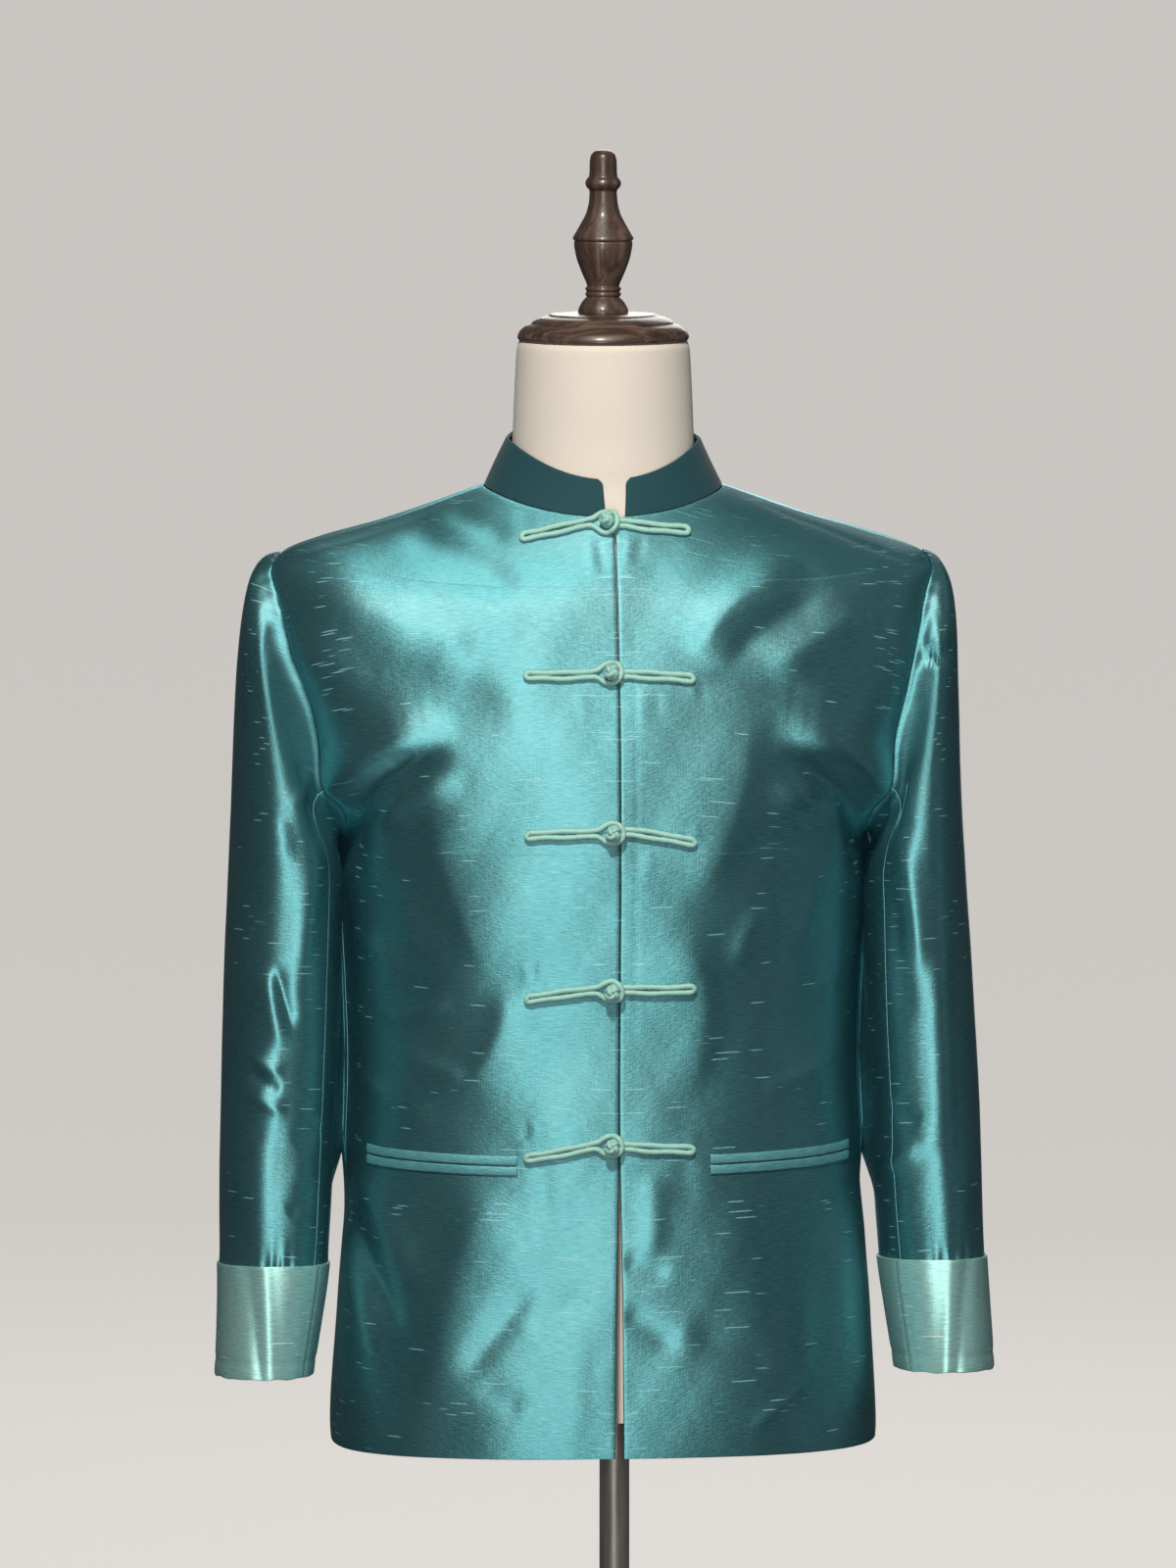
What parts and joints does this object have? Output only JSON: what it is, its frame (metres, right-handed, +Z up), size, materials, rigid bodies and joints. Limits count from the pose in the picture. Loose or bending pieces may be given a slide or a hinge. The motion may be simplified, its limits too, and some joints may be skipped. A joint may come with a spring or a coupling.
{
  "type": "mandarin collar jacket on a dress form stand",
  "caption": "Hip-length silk jacket with a stand collar, frog closures, welt pockets and pale cuffs, worn by a limbless dress form on a pole and round foot.",
  "frame": {"origin": "middle of the underside of the stand's foot, on the floor", "axes": "+Z up, -Y the way the jacket faces, +X the wearer's left"},
  "size_m": [0.5442, 0.2903, 1.3937],
  "materials": {
    "silk": "lustrous slubbed dupioni",
    "collar_cloth": "matte, stiffened",
    "cuff_silk": "lustrous slubbed dupioni",
    "frog_cord": "corded bias tube",
    "form_linen": "plain woven cover",
    "turned_wood": "dark, semi-gloss",
    "steel": "brushed",
    "base_steel": "satin black"
  },
  "bodies": {
    "root": {"front_left": "silk", "front_right": "silk", "back_panel": "silk", "sleeve_left_top": "silk", "sleeve_left_under": "silk", "sleeve_right_top": "silk", "sleeve_right_under": "silk", "welt_left_upper": "silk", "welt_left_lower": "silk", "welt_right_upper": "silk", "welt_right_lower": "silk", "stand_collar": "collar_cloth", "cuff_left": "cuff_silk", "cuff_right": "cuff_silk", "frog_loop_1": "frog_cord", "frog_knot_1": "frog_cord", "frog_loop_2": "frog_cord", "frog_knot_2": "frog_cord", "frog_loop_3": "frog_cord", "frog_knot_3": "frog_cord", "frog_loop_4": "frog_cord", "frog_knot_4": "frog_cord", "frog_loop_5": "frog_cord", "frog_knot_5": "frog_cord", "form_torso": "form_linen", "neck_cap": "turned_wood", "neck_finial": "turned_wood", "stand_pole": "steel", "stand_base": "base_steel"}
  },
  "joints": []
}
